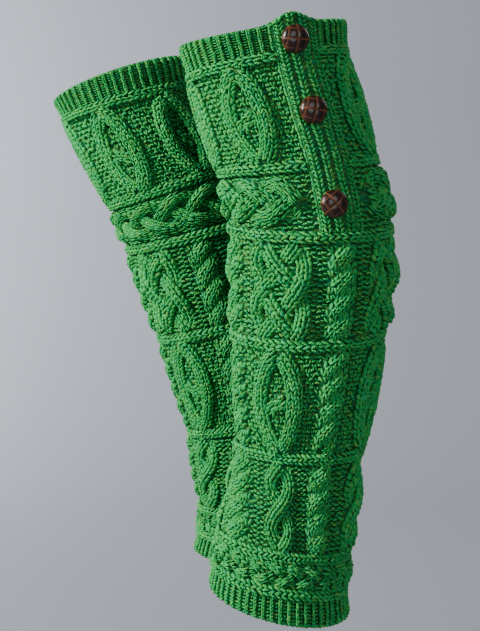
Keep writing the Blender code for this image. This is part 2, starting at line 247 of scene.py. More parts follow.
@dataclass(frozen=True)
class LegForm:
    """The worn form of one leg warmer, which the flat chart is wrapped round."""

    name: str
    rings: tuple
    placket_angle: float
    hand: int
    seed: int
    lay: int
    gathers: float

    def place(self, x: Array, down: Array, out: Array) -> Array:
        """Wraps chart points round the leg.

        A point lies on an ellipse round its ring's middle: the radii plus out, times the sine and the
        cosine of the placket's angle plus the twist there and x over the chart's radius, where x is
        first drawn together by a sine of itself, two waves round, times the gather. The ring's
        plane is turned by its roll and drop. At the placket the cuff's edge rises by a bell curve of x.

        Args:
            x: Places across the chart from the placket's middle, in mm.
            down: Places below the cuff's edge, in mm.
            out: Heights above the wall, in mm.

        Returns:
            The points in mm, with x, y and z on the last axis.
        """
        x, down, out = np.broadcast_arrays(x, down, out)
        wave = np.sin(4 * math.pi * (x - GATHERED_AT) / CHART_WIDTH)
        drawn = x - self.gathers * smooth(GIRTHS, "gather", down) * wave
        twist = self.hand * (drawn / CHART_RADIUS + np.radians(smooth(GIRTHS, "twist", down)))
        turn = np.radians(self.placket_angle) + twist
        roll, drop = (np.radians(smooth(self.rings, column, down)) for column in ("roll", "drop"))
        radius = smooth(GIRTHS, "radius", down)
        side = (radius + out) * np.sin(turn)
        near = (radius * smooth(GIRTHS, "depth", down) + out) * np.cos(turn)
        fade = np.clip(1 - down / CUFF_END, 0, 1)
        rise = PEAK_RISE * bell(from_placket(x) - PEAK_AT, PEAK_SPREAD) * fade
        moved = {
            "x": side * np.cos(roll) - rise * np.sin(roll),
            "y": -near * np.cos(drop),
            "z": side * np.sin(roll) - near * np.sin(drop) + rise * np.cos(roll),
        }
        return np.stack([smooth(self.rings, axis, down) + move for axis, move in moved.items()], axis=-1)


LEFT = LegForm("left", LEFT_RINGS, 18.0, 1, 11, -1, 1.0)
RIGHT = LegForm("right", RIGHT_RINGS, -177.0, -1, 23, 1, 0.0)


class Cable(NamedTuple):
    """A cable's sizes: its strands' swing, half width, height and columns, and how long a row is."""

    swing: float
    half: float
    height: float
    columns: int
    row: float = 3.3


@dataclass(frozen=True, eq=False)
class Strand:
    """A cable strand on the flat chart: its line, its height along the line, and its cable's sizes."""

    x: Array
    down: Array
    height: Array
    cable: Cable


@dataclass
class Chart:
    """The knitting chart of a leg warmer: where its cables, ridges and grounds lie, and its ropes' lay."""

    lay: int
    repeats: int = 4
    first_rope_at: float = 1.0
    ovals_at: tuple = (43.5, 95.0, 146.5)
    ovals: Cable = Cable(12.2, 6.0, 5.4, 3)
    long_ovals: Cable = Cable(14.6, 6.6, 5.4, 3)
    swirl: Cable = Cable(1.2, 2.2, 2.8, 1)
    wide_plait: Cable = Cable(12.6, 5.5, 7.0, 3, 4.7)
    wide_plait_edge: float = CLEAR_HALF + 11.5
    fine_plait: Cable = Cable(5.2, 4.8, 5.6, 3, 4.7)
    knots: Cable = Cable(17.2, 5.6, 6.8, 2)
    wide_ropes: Cable = Cable(10.2, 6.6, 6.2, 2)
    thin_ropes: tuple = (
        (3, 2.0, Cable(5.4, 6.0, 6.2, 3)),
        (4, 2.25, Cable(5.6, 6.4, 6.2, 3)),
        (5, 2.0, Cable(6.8, 7.0, 6.2, 3)),
    )
    grounds: tuple = (Ground.MOSS, Ground.PURL, Ground.PURL, Ground.MOSS, Ground.PURL, Ground.PURL)
    crease_at: float = 11.6
    crease_from: float = 150.0
    crease_depth: float = 1.5
    crease_half: float = 2.4
    rim_depth: float = 1.7
    rim_half: float = 2.2
    strands: list = field(default_factory=list)

    def __post_init__(self) -> None:
        """Draws every strand of the chart, tier by tier."""
        for x in self.ovals_at:
            for side in (-1, 1):
                self.oval(side * x, 1, inset=1.5, cable=self.ovals, power=0.55)
        edge = self.wide_plait_edge
        self.plait_round(122.0, self.wide_plait, lobes=11, lead=1.5, edge=edge, closing=10.0)
        quarter = CHART_WIDTH / self.repeats
        for k in range(self.repeats):
            middle = self.first_rope_at + quarter * (k + 0.5)
            self.knot(middle, 3, self.knots)
            self.oval(middle, 4, inset=1.0, cable=self.long_ovals, power=0.65)
            self.rope(middle, 5, self.wide_ropes, turns=1.0, lead=-0.1)
            for number, turns, cable in self.thin_ropes:
                self.rope(self.first_rope_at + quarter * k, number, cable, turns, lead=-1.5)
        self.plait_round(384.0, self.fine_plait, lobes=20, lead=0.0, edge=0.0, closing=0.0)

    def tier(self, number: int, inset: float) -> tuple[float, float]:
        """Where the ground between two ridges starts and ends, in from the ridges' edges."""
        edge = RIDGE_WIDTH / 2 + inset
        return RIDGES[number - 1] + edge, RIDGES[number] - edge

    def add(self, x: Array, down: Array, height: Array | float, cable: Cable) -> None:
        """Adds a strand to the chart."""
        self.strands.append(Strand(x, down, np.broadcast_to(height, np.shape(down)), cable))

    def rope(self, x: float, number: int, cable: Cable, turns: float, lead: float) -> None:
        """Two strands that wind round each other: x is a sine down the chart, and height its cosine, curved.

        Args:
            x: The rope's middle line.
            number: Its tier.
            cable: Its sizes.
            turns: How often its strands wind round each other.
            lead: The sine's phase at its top.
        """
        top, bottom = self.tier(number, 0.5)
        down = np.linspace(top, bottom, max(17, int(turns * 16)))
        phase = 2 * math.pi * turns * (down - top) / (bottom - top) + lead
        for shift in (0.0, math.pi):
            over = 0.5 + 0.5 * np.cos(phase + shift)
            tall = cable.height * (0.08 + 0.92 * over**0.7) * self.tapered(down, top, bottom)
            self.add(x + self.lay * cable.swing * np.sin(phase + shift), down, tall, cable)

    def knot(self, x: float, number: int, cable: Cable) -> None:
        """A four-strand plait, two lobes tall: each x is a sine, and its height a cosine of three times it.

        Args:
            x: The knot's middle line.
            number: Its tier.
            cable: Its sizes.
        """
        top, bottom = self.tier(number, 1.0)
        down = np.linspace(top, bottom, 33)
        phase = math.pi * (down - top) / (bottom - top)
        for quarters in (1, 3, 5, 7):
            turn = phase + quarters * math.pi / 4
            tall = cable.height * (0.56 + 0.44 * np.cos(3 * turn)) * self.tapered(down, top, bottom)
            self.add(x + cable.swing * np.sin(turn), down, tall, cable)

    def oval(self, x: float, number: int, inset: float, cable: Cable, power: float) -> None:
        """Two strands that bow out by a power of a sine, round a short slanting swirl of two more.

        Args:
            x: The oval's middle line.
            number: Its tier.
            inset: How far in from the ridges it ends.
            cable: Its sizes.
            power: The power: the lower it is, the fuller the oval.
        """
        top, bottom = self.tier(number, inset)
        down = np.linspace(top, bottom, 25)
        bow = cable.swing * np.sin(math.pi * (down - top) / (bottom - top)) ** power
        self.add(x - bow, down, cable.height, cable)
        self.add(x + bow, down, cable.height - 0.5, cable)
        reach, lower = cable.swing * 0.42, (top + bottom) / 2 + 2.0
        slant = np.linspace(-reach, reach, 9)
        for shift in (-1.7, 1.7):
            curl = shift + self.swirl.swing * np.sin(slant / reach * math.pi)
            self.add(x + slant + curl, lower - slant + curl, self.swirl.height, self.swirl)

    def plait_round(
        self, down: float, cable: Cable, lobes: int, lead: float, edge: float, closing: float
    ) -> None:
        """Three strands that plait round the leg, a third of a turn apart.

        Down is a sine across the chart, and the height falls with the sine of twice the phase, so that
        each strand passes over where it turns back to the middle. Where closing is over 0, the sine's
        swing falls with a square root over that distance from both ends.

        Args:
            down: The plait's middle, down the chart.
            cable: Its sizes.
            lobes: How many lobes it has.
            lead: The sine's phase at its start.
            edge: How far from the placket's middle it starts and ends.
            closing: How far from its ends it starts to close.
        """
        end = CHART_WIDTH - edge
        x = np.linspace(edge, end, lobes * 10 + 1)
        phase = 2 * math.pi * lobes * (x - edge) / (end - edge) / 3 + lead
        swing = cable.swing
        if closing > 0:
            swing = swing * np.clip(np.minimum(x - edge, end - x) / closing, 0, 1) ** 0.5
        for third in range(3):
            turn = phase + third * 2 * math.pi / 3
            tall = cable.height * (0.56 - 0.44 * np.sin(2 * turn))
            self.add(x, down + swing * np.sin(turn), tall, cable)

    def tapered(self, down: Array, top: float, bottom: float) -> Array:
        """How strands sink at the ends of their tier: a square root over the last few mm."""
        return np.clip(np.minimum(down - top, bottom - down) / 6.0, 0.2, 1) ** 0.5

    def strand_lift(self, x: Array, down: Array, without: Strand | None = None) -> Array:
        """How far the highest strand lifts each point: its height times a half circle across its width.

        Args:
            x: Places across the chart, from the placket, both ways.
            down: Places down the chart.
            without: A strand to leave out.

        Returns:
            The lift in mm, 0 off the strands.
        """
        lift = np.zeros(x.shape)
        for strand in self.strands:
            if strand is without:
                continue
            wide = strand.cable.half
            for turn in (-1, 0, 1):
                line = np.stack([strand.x + turn * CHART_WIDTH, strand.down], axis=1)
                low, high = line.min(0) - wide, line.max(0) + wide
                near = (x > low[0]) & (x < high[0]) & (down > low[1]) & (down < high[1])
                if not near.any():
                    continue
                points = np.stack([x[near], down[near]], axis=1)
                start, step = line[:-1], np.diff(line, axis=0)
                offset = points[:, None] - start[None]
                t = np.clip((offset * step).sum(-1) / (step**2).sum(-1), 0, 1)
                away = np.linalg.norm(offset - t[..., None] * step, axis=-1)
                tall = strand.height[:-1] * (1 - t) + strand.height[1:] * t
                dome = tall * np.sqrt(np.clip(1 - (away / wide) ** 2, 0, 1))
                lift[near] = np.maximum(lift[near], dome.max(1))
        return lift

    def crease(self, x: Array, down: Array) -> Array:
        """How deep the soft crease down the back of the shin lies, a bell curve of x, in mm."""
        fade = np.clip((down - self.crease_from) / 20.0, 0, 1)
        return self.crease_depth * bell(from_placket(x) - self.crease_at, self.crease_half) * fade

    def beside_placket(self, x: Array, down: Array) -> Array:
        """1 away from the placket and 0 under it, with a soft edge."""
        beside = np.clip((np.abs(from_placket(x)) - CLEAR_HALF) / 2.5, 0, 1)
        return np.where(down < PLACKET_END + 1.0, beside, 1.0)

    def under_placket(self, x: Array, down: Array, below: float = 0.0) -> Array:
        """Where the placket and its last rib cover the knit, down to below its end."""
        x = from_placket(x)
        return (x >= -CLEAR_HALF) & (x <= LAST_RIB_AT + 2.0) & (down <= PLACKET_END + below)

    def bank(self, x: Array, down: Array) -> Array:
        """How far the ground rises to meet the placket, more on its +x side, fading out with x.

        Args:
            x: Places across the chart.
            down: Places down the chart.

        Returns:
            The rise in mm, a smooth step from the bank's foot to the placket's edge.
        """
        x = from_placket(x)
        reach, tall = np.where(x > 0, 9.0, 4.0), np.where(x > 0, 3.2, 1.4)
        near = np.clip(1 - (np.abs(x) - PLACKET_WIDTH / 2) / reach, 0, 1)
        beyond = np.clip(1 - (down - PLACKET_END) / 6.0, 0, 1)
        return tall * near * near * (3 - 2 * near) * beyond

    def settle(self, x: Array, down: Array) -> Array:
        """How far the whole knit is moved out: up the bank, into the crease, and in round both rims."""
        rims = self.rim_depth * (bell(down, self.rim_half) + bell(LENGTH - down, self.rim_half))
        return self.bank(x, down) - self.crease(x, down) - rims


class Loop(NamedTuple):
    """A loop's half length, half width and height, and how much its far end rises above its middle."""

    long: float
    wide: float
    tall: float
    tilt: float = 0.0


@dataclass
class Stitches:
    """Leaf-shaped loops of yarn on the chart, one entry of each array for each loop."""

    x: Array
    down: Array
    out: Array
    angle: Array
    long: Array
    wide: Array
    tall: Array
    tilt: Array
    slope: Array
    bow: Array
    tint: Array

    # A loop's three rings: each one's place along it, its share of the width, and its points' places.
    RINGS = np.array([-0.62, 0.0, 0.62])
    BULGES = np.array([0.82, 1.0, 0.82])
    ACROSS = np.array([-1.0, -0.52, 0.52, 1.0])
    LIFTS = np.array([-0.25, 0.95, 0.95, -0.25])
    TIP_LIFT = -0.1

    @classmethod
    def joined(cls, parts: list["Stitches"]) -> "Stitches":
        """All of several batches, as one."""
        names = cls.__dataclass_fields__
        return cls(*(np.concatenate([getattr(p, n) for p in parts]) for n in names))

    def kept(self, keep: Array) -> "Stitches":
        """The stitches where keep is true."""
        return Stitches(*(getattr(self, n)[keep] for n in self.__dataclass_fields__))

    def points(self, form: LegForm) -> tuple[Array, Array]:
        """The loops' points on the leg, and their places along and across each loop.

        Along a loop, t runs from -1 to 1. Its width and height are the bulge at t, its middle bows by
        1 - t squared, and its heights add the tilt times t and the slope times the distance across.

        Args:
            form: The leg.

        Returns:
            Points of shape (loops, 14, 3) in mm, and flat places of shape (loops, 14, 2) in mm.
        """
        share = np.concatenate([[-1.0], np.repeat(self.RINGS, 4), [1.0]])
        bulge = np.repeat(self.BULGES, 4)
        across = np.concatenate([[0.0], bulge * np.tile(self.ACROSS, 3), [0.0]])
        lift = np.concatenate([[self.TIP_LIFT], bulge * np.tile(self.LIFTS, 3), [self.TIP_LIFT]])
        along = self.long[:, None] * share
        offset = self.wide[:, None] * across
        side = offset + self.bow[:, None] * (1 - share**2)
        up = self.tall[:, None] * lift + self.tilt[:, None] * share + self.slope[:, None] * offset
        sin, cos = np.sin(self.angle)[:, None], np.cos(self.angle)[:, None]
        placed = form.place(
            self.x[:, None] + along * sin + side * cos,
            self.down[:, None] + along * cos - side * sin,
            self.out[:, None] + up,
        )
        return placed, np.stack([along, offset], axis=-1)


# A loop's faces: a fan at each tip, and two rows of quads between its three rings of four points.
LOOP_FACES = (
    [(0, 1 + k, 1 + (k + 1) % 4) for k in range(4)]
    + [(r + k, r + 4 + k, r + 4 + (k + 1) % 4, r + (k + 1) % 4) for r in (1, 5) for k in range(4)]
    + [(13, 9 + (k + 1) % 4, 9 + k) for k in range(4)]
)
LOOP_POINTS = 14


def finished(mesh: bpy.types.Mesh, material: Material) -> Piece:
    """Shades a mesh smooth, gives it its finish, and links an object of its name to the scene.

    Args:
        mesh: The mesh.
        material: Its finish.

    Returns:
        The object.
    """
    mesh.shade_smooth()
    mesh.materials.append(material)
    built = bpy.data.objects.new(mesh.name, mesh)
    bpy.context.scene.collection.objects.link(built)
    return built


def add_mesh(name: str, points: Array, faces: list, material: Material) -> Piece:
    """A smooth-shaded mesh object.

    Args:
        name: The object's name.
        points: The points in mm, of shape (n, 3).
        faces: The faces' point numbers.
        material: Its finish.

    Returns:
        The object, linked to the scene.
    """
    mesh = bpy.data.meshes.new(name)
    mesh.from_pydata((points * MM).tolist(), [], faces)
    return finished(mesh, material)


def add_values(built: Piece, name: str, values: Array) -> None:
    """Stores one number for each point of a mesh, for its material to read."""
    layer = built.data.attributes.new(name, "FLOAT", "POINT")
    layer.data.foreach_set("value", np.asarray(values, np.float32))


def add_flat(built: Piece, places: Array) -> None:
    """Stores the points' flat places as the mesh's UV map.

    Args:
        built: The object.
        places: The places in mm, of shape (points, 2).
    """
    loops = np.zeros(len(built.data.loops), np.int64)
    built.data.loops.foreach_get("vertex_index", loops)
    layer = built.data.uv_layers.new(name="flat")
    layer.data.foreach_set("uv", places[loops].astype(np.float32).ravel())


def stitch_mesh(name: str, form: LegForm, stitches: Stitches, material: Material) -> Piece:
    """Builds a batch of stitches as one mesh of closed loops.

    Args:
        name: The object's name.
        form: The leg that they lie on.
        stitches: The stitches.
        material: Their yarn.

    Returns:
        The object.
    """
    points, places = stitches.points(form)
    count = len(points)
    faces = [face[::-1] if form.hand < 0 else face for face in LOOP_FACES]
    corners = (np.arange(count)[:, None] * LOOP_POINTS + np.concatenate(faces)).ravel()
    sizes = np.tile([len(face) for face in faces], count)
    mesh = bpy.data.meshes.new(name)
    mesh.vertices.add(count * LOOP_POINTS)
    mesh.vertices.foreach_set("co", (points * MM).astype(np.float32).ravel())
    mesh.loops.add(len(corners))
    mesh.loops.foreach_set("vertex_index", corners.astype(np.int32))
    mesh.polygons.add(len(sizes))
    mesh.polygons.foreach_set("loop_start", (np.cumsum(sizes) - sizes).astype(np.int32))
    mesh.update(calc_edges=True)
    built = finished(mesh, material)
    add_flat(built, places.reshape(-1, 2))
    add_values(built, "tint", np.repeat(stitches.tint, LOOP_POINTS))
    return built


def tube_faces(rows: int, columns: int, turned: bool) -> Array:
    """The quads between the rings of a tube, whose points run row by row.

    Args:
        rows: How many rings it has.
        columns: How many points a ring has.
        turned: Whether each quad's points run the other way round.

    Returns:
        The point numbers, of shape (quads, 4).
    """
    row, column = np.meshgrid(np.arange(rows - 1), np.arange(columns), indexing="ij")
    here, after = row * columns + column, row * columns + (column + 1) % columns
    quads = np.stack([here, after, after + columns, here + columns], axis=-1).reshape(-1, 4)
    return quads[:, ::-1] if turned else quads


def capped_faces(rows: int, columns: int, turned: bool) -> list:
    """The quads of a tube, with one more face over each of its ends.

    Args:
        rows: How many rings it has.
        columns: How many points a ring has.
        turned: Whether each face's points run the other way round.

    Returns:
        The faces' point numbers.
    """
    numbers = list(range(rows * columns))
    ends = [numbers[:columns], numbers[-columns:][::-1]]
    return tube_faces(rows, columns, turned).tolist() + [end if turned else end[::-1] for end in ends]


@dataclass
class StitchWorks:
    """Lays the stitches of one leg warmer on its chart, each part of the knit from its own loop."""

    chart: Chart
    rng: np.random.Generator
    row: float = 3.3
    lean: float = math.radians(19)
    cable_tall: float = 1.5
    cable_tilt: float = 0.4
    ridge_stitch: float = 4.8
    ridge_chain: Loop = Loop(3.5, 1.2, 1.7, 0.5)
    # Each line of a ridge: how far below its middle it lies, and which way its loops lean.
    ridge_lines: tuple = ((-2.5, 1), (0.0, -1), (2.5, 1))
    moss_stitch: float = 3.9
    moss_row: float = 3.1
    moss_bump: Loop = Loop(2.2, 1.0, 1.9)
    moss_pair: Loop = Loop(2.0, 0.85, 1.4)
    purl_stitch: float = 7.2
    purl_row: float = 3.6
    purl_wave: Loop = Loop(2.6, 0.9, 1.7)
    rib_row: float = 2.2
    rib_half: float = 0.66
    rib_lean: float = 0.3
    rib_slope: float = 0.5
    rib_out: float = 1.75
    rib_pair: Loop = Loop(1.75, 0.74, 1.4, 0.3)
    edge_stitches: int = 84
    edge_chain: Loop = Loop(2.5, 1.15, 1.5)

    def noise(self, spread: float, shape: int | tuple) -> Array:
        """Random offsets round 0, on a bell curve."""
        return self.rng.normal(0, spread, shape)

    def lay(
        self,
        x: Array | float,
        down: Array | float,
        out: Array | float,
        angle: Array | float,
        loop: Loop,
        stretch: Array | float = 1.0,
        bow: Array | float = 0.0,
        slope: Array | float = 0.0,
        tint: Array | float = 0.0,
    ) -> Stitches:
        """Lays loops with a little unevenness in their places, sizes and colour.

        Args:
            x: Their middles across the chart.
            down: Their middles down the chart.
            out: Heights of the ground under each.
            angle: Directions, in radians from straight down towards +x.
            loop: Their shape.
            stretch: How many times the shape's length each has.
            bow: How far each one's middle stands aside.
            slope: How steeply each one rises across its width.
            tint: Where its row's colour lies, from -1 to 1.

        Returns:
            The stitches.
        """
        spread = np.broadcast_arrays(x, down, out, angle, stretch, bow, slope, tint)
        x, down, out, angle, stretch, bow, slope, tint = (np.ravel(v).astype(float) for v in spread)
        count = len(x)
        return Stitches(
            x + self.noise(0.13, count),
            down + self.noise(0.13, count),
            out - SINK + self.noise(0.1, count),
            angle + self.noise(0.07, count),
            loop.long * stretch * self.rng.uniform(0.9, 1.1, count),
            loop.wide * self.rng.uniform(0.92, 1.08, count),
            loop.tall * self.rng.uniform(0.88, 1.12, count),
            np.full(count, loop.tilt),
            slope,
            bow,
            tint + self.noise(0.4, count),
        )

    def row_tint(self, down: Array, x: Array) -> Array:
        """How the yarn's colour drifts along the rows: a sum of slow sines of x and the row, -1 to 1."""
        row = np.round(down / self.row)
        return 0.5 * (np.sin(x / 9.0 + row * 2.4) + np.sin(x / 23.0 - row * 1.7 + 1.0))

    def along(self, strand: Strand) -> Stitches:
        """The stitches of a cable strand: columns of paired loops that lean towards each column's middle.

        Each row's middle is a step along the strand's line. A column stands off it by its offset, at the
        strand's height times the half circle across its width, and leans with the line's direction.

        Args:
            strand: The strand.

        Returns:
            Its stitches, without those that another strand passes over.
        """
        cable = strand.cable
        far = np.concatenate([[0.0], np.cumsum(np.hypot(np.diff(strand.x), np.diff(strand.down)))])
        rows = max(2, round(far[-1] / cable.row))
        at = (np.arange(rows) + 0.5) * far[-1] / rows
        x, down, tall = (np.interp(at, far, line) for line in (strand.x, strand.down, strand.height))
        lead = np.arctan2(np.gradient(x), np.gradient(down))
        lean = self.lean * (self.row / cable.row) ** 2
        column = 2 * cable.half / cable.columns * 0.98
        loop = Loop(cable.row * 0.82, column * 0.245, self.cable_tall, self.cable_tilt)
        made = []
        for number in range(cable.columns):
            for side in (-1, 1):
                off = (number - (cable.columns - 1) / 2 + side * 0.25) * column
                share = off / cable.half
                dome = math.sqrt(1 - share * share)
                made.append(
                    self.lay(
                        x + off * np.cos(lead) + self.noise(0.12, rows),
                        down - off * np.sin(lead) + self.noise(0.25, rows),
                        tall * dome - 0.35 + self.noise(0.12, rows),
                        lead - side * lean + self.noise(0.06, rows),
                        loop,
                        bow=self.noise(0.2, rows),
                        slope=-tall * share / dome / cable.half,
                        tint=self.row_tint(down, x),
                    )
                )
        made = Stitches.joined(made)
        above = self.chart.strand_lift(made.x, made.down, strand)
        return made.kept(above < made.out + SINK + 0.2)

    def cables(self) -> Stitches:
        """The stitches of every strand, clear of the placket and of the strands that pass over it."""
        made = Stitches.joined([self.along(strand) for strand in self.chart.strands])
        return made.kept(self.chart.beside_placket(made.x, made.down) > 0.3)

    def ridge_height(self, x: Array, middle: float) -> Array:
        """How high a ridge stands: lower beyond the placket, by a bell curve of x, and a little uneven."""
        return 3.8 - 1.4 * bell(from_placket(x) - 55.0, 30.0) + 0.25 * np.sin(x / 17.0 + middle)

    def ridge(self, middle: float) -> Stitches:
        """A raised ridge round the leg: three lines of chain stitches, laid sideways, over a half circle.

        Args:
            middle: Where its middle lies, down the chart.

        Returns:
            Its stitches, clear of the placket.
        """
        count = round(CHART_WIDTH / self.ridge_stitch)
        x = (np.arange(count) + 0.5) * CHART_WIDTH / count
        height = self.ridge_height(x, middle)
        half = RIDGE_WIDTH / 2 + 0.6
        made = []
        for line, lean in self.ridge_lines:
            share = line / half
            dome = math.sqrt(1 - 0.75 * share * share)
            made.append(
                self.lay(
                    x + line * 0.3,
                    middle + line,
                    height * dome - 0.4 + self.noise(0.15, count),
                    math.pi / 2 - lean * 0.36 + self.noise(0.08, count),
                    self.ridge_chain,
                    bow=0.1 * lean + self.noise(0.2, count),
                    slope=height * share * 0.75 / dome / half,
                    tint=self.row_tint(middle + line, x),
                )
            )
        made = Stitches.joined(made)
        return made.kept(~self.chart.under_placket(made.x, made.down))

    def moss(self, top: float, bottom: float) -> Stitches:
        """A ground of moss stitch: bumps and small pairs of loops, in turn along and up the rows.

        Args:
            top: Where the ground starts, down the chart.
            bottom: Where it ends.

        Returns:
            Its stitches.
        """
        rows = round((bottom - top) / self.moss_row)
        columns = 2 * round(CHART_WIDTH / self.moss_stitch / 2)
        down, x = chart_grid(top, bottom, rows, columns)
        bump = np.add.outer(np.arange(rows), np.arange(columns)) % 2 == 0
        lean = 0.3 * np.where(np.arange(rows) % 2 == 0, 1, -1)[:, None] * np.ones(columns)
        x = x + self.noise(0.35, x.shape)
        down = down + self.noise(0.3, x.shape)
        count = bump.sum()
        made = [
            self.lay(
                x[bump],
                down[bump],
                0.3,
                math.pi / 2 + lean[bump] + self.noise(0.3, count),
                self.moss_bump,
                stretch=self.rng.uniform(0.8, 1.15, count),
                bow=0.4,
                tint=self.row_tint(down[bump], x[bump]),
            )
        ]
        x, down = x[~bump], down[~bump]
        for side in (-1, 1):
            made.append(
                self.lay(
                    x + side * 0.9 + self.noise(0.2, x.shape),
                    down + self.noise(0.25, x.shape),
                    -0.35,
                    -side * (0.45 + self.noise(0.15, x.shape)),
                    self.moss_pair,
                    tint=self.row_tint(down, x),
                )
            )
        return Stitches.joined(made)

    def purl(self, top: float, bottom: float) -> Stitches:
        """A ground of reverse stockinette: rows of waves, each a crest loop and a trough loop.

        Args:
            top: Where the ground starts, down the chart.
            bottom: Where it ends.

        Returns:
            Its stitches.
        """
        rows = round((bottom - top) / self.purl_row)
        columns = round(CHART_WIDTH / self.purl_stitch)
        down, x = chart_grid(top, bottom, rows, columns)
        uneven = self.noise(0.3, x.shape)
        made = [
            self.lay(
                x + shift * CHART_WIDTH / columns + uneven,
                down + lower,
                out,
                math.pi / 2 + self.noise(0.1, x.shape),
                self.purl_wave,
                bow=bow,
                tint=self.row_tint(down, x),
            )
            for shift, lower, bow, out in ((0.0, -0.35, 1.2, 0.5), (0.5, 0.35, -1.2, 0.0))
        ]
        return Stitches.joined(made)

    def ground(self) -> Stitches:
        """The stitches between the cables of every tier.

        Returns:
            The stitches, clear of the cables and the placket.
        """
        made = []
        for number, kind in enumerate(self.chart.grounds, 1):
            top, bottom = self.chart.tier(number, -0.6)
            made.append(self.moss(top, bottom) if kind is Ground.MOSS else self.purl(top, bottom))
        made = Stitches.joined(made)
        lift = self.chart.strand_lift(from_placket(made.x), made.down)
        lift *= self.chart.beside_placket(made.x, made.down)
        return made.kept((lift < 1.0) & ~self.chart.under_placket(made.x, made.down, 1.0))

    def ribs(self, count: int, top: float, bottom: float) -> Stitches:
        """A ribbed band: each rib is a column of paired loops, with purl bumps in the trough beside it,
        tinted darker as painted shade.

        Args:
            count: How many ribs it has.
            top: Where it starts, down the chart.
            bottom: Where it ends.

        Returns:
            Its stitches, clear of the placket.
        """
        rows = round((bottom - top) / self.rib_row)
        pitch = CHART_WIDTH / count
        trough = Loop(pitch / 2 - 1.2, 0.78, 1.2)
        down, x = chart_grid(top, bottom, rows, count)
        tint = self.row_tint(down, x)
        made = []
        for side in (-1, 1):
            lean, slope = -side * self.rib_lean, -side * self.rib_slope
            beside = x + side * self.rib_half
            made.append(self.lay(beside, down, self.rib_out, lean, self.rib_pair, slope=slope, tint=tint))
        # The trough's bumps are tinted one step darker: painted shade in the rib's trough.
        made.append(self.lay(x + pitch / 2, down, 0.35, math.pi / 2, trough, bow=-0.3, tint=tint - 1.0))
        made = Stitches.joined(made)
        return made.kept(~self.chart.under_placket(made.x, made.down))

    def edge(self, down: float) -> Stitches:
        """The chain of loops that closes the knit along its edge, in two lines.

        Args:
            down: Where the edge lies, down the chart.

        Returns:
            Its stitches.
        """
        x = (np.arange(self.edge_stitches) + 0.5) * CHART_WIDTH / self.edge_stitches
        tint = self.row_tint(down, x)
        made = [
            self.lay(x, down + 0.2 * lean, out, math.pi / 2 + 0.3 * lean, self.edge_chain, tint=tint)
            for out, lean in ((0.1, 1), (-1.9, -1))
        ]
        return Stitches.joined(made)

    def batches(self) -> dict[str, Stitches]:
        """Every stitch of the tube, in batches that are a piece each.

        Returns:
            The batches by name, moved with the knit under them.
        """
        ridges = Stitches.joined([self.ridge(middle) for middle in RIDGES])
        cables = self.cables()
        laid = {
            "upper_cable_stitches": cables.kept(cables.down < RIDGES[2]),
            "lower_cable_stitches": cables.kept(cables.down >= RIDGES[2]),
            "ground_stitches": self.ground(),
            "ridge_stitches": ridges,
            "cuff_stitches": Stitches.joined([self.ribs(CUFF_RIBS, 0.8, CUFF_END), self.edge(0.6)]),
            "hem_stitches": Stitches.joined(
                [self.ribs(HEM_RIBS, HEM_START, LENGTH - 0.8), self.edge(LENGTH - 0.6)]
            ),
        }
        for batch in laid.values():
            batch.out = batch.out + self.chart.settle(batch.x, batch.down)
        return laid


@dataclass(frozen=True)
class Colour:
    """A linear colour."""

    red: float
    green: float
    blue: float

    def rgba(self) -> tuple[float, float, float, float]:
        """The colour with full alpha, as a socket takes it."""
        return (self.red, self.green, self.blue, 1.0)


class NodeKit:
    """Small helpers for building shader node trees, whose inputs are each a socket or a value."""

    def __init__(self, tree: bpy.types.NodeTree) -> None:
        """Keeps the tree that nodes are added to."""
        self.tree = tree

    def feed(self, socket: Socket, value: object) -> None:
        """Joins a socket to another one, or sets it to a value.

        Args:
            socket: The socket to feed.
            value: The other socket, or the value.
        """
        if isinstance(value, Socket):
            self.tree.links.new(value, socket)
        else:
            socket.default_value = value

    def add(self, kind: str, inputs: dict | None = None, **settings: object) -> bpy.types.Node:
        """A new node.

        Args:
            kind: What follows ShaderNode in its type's name.
            inputs: What feeds its sockets, by their names or numbers.
            settings: Its own settings.

        Returns:
            The node.
        """
        node = self.tree.nodes.new(f"ShaderNode{kind}")
        for name, value in settings.items():
            setattr(node, name, value)
        for name, value in (inputs or {}).items():
            self.feed(node.inputs[name], value)
        return node

    def math(self, operation: str, *values: object) -> Socket:
        """A Math node's output."""
        return self.add("Math", dict(enumerate(values)), operation=operation).outputs[0]

    def noise(self, vector: Socket, scale: float, detail: float) -> Socket:
        """The value of a noise."""
        return self.add("TexNoise", {"Vector": vector, "Scale": scale, "Detail": detail}).outputs["Fac"]

    def spread(self, value: Socket, least: float, most: float, top: float = 1.0) -> Socket:
        """A value spread from least and most to 0 and top."""
        inputs = {"Value": value, "From Min": least, "From Max": most, "To Max": top}
        return self.add("MapRange", inputs).outputs["Result"]

    def mix(self, share: Socket, first: object, second: object) -> Socket:
        """Two colours mixed by the second one's share."""
        inputs = {"Factor": share, "A": first, "B": second}
        return self.add("Mix", inputs, data_type="RGBA").outputs["Result"]

    def bump(self, height: Socket, strength: float, distance: float) -> Socket:
        """The normal of a surface with a height."""
        inputs = {"Height": height, "Strength": strength, "Distance": distance}
        return self.add("Bump", inputs).outputs["Normal"]


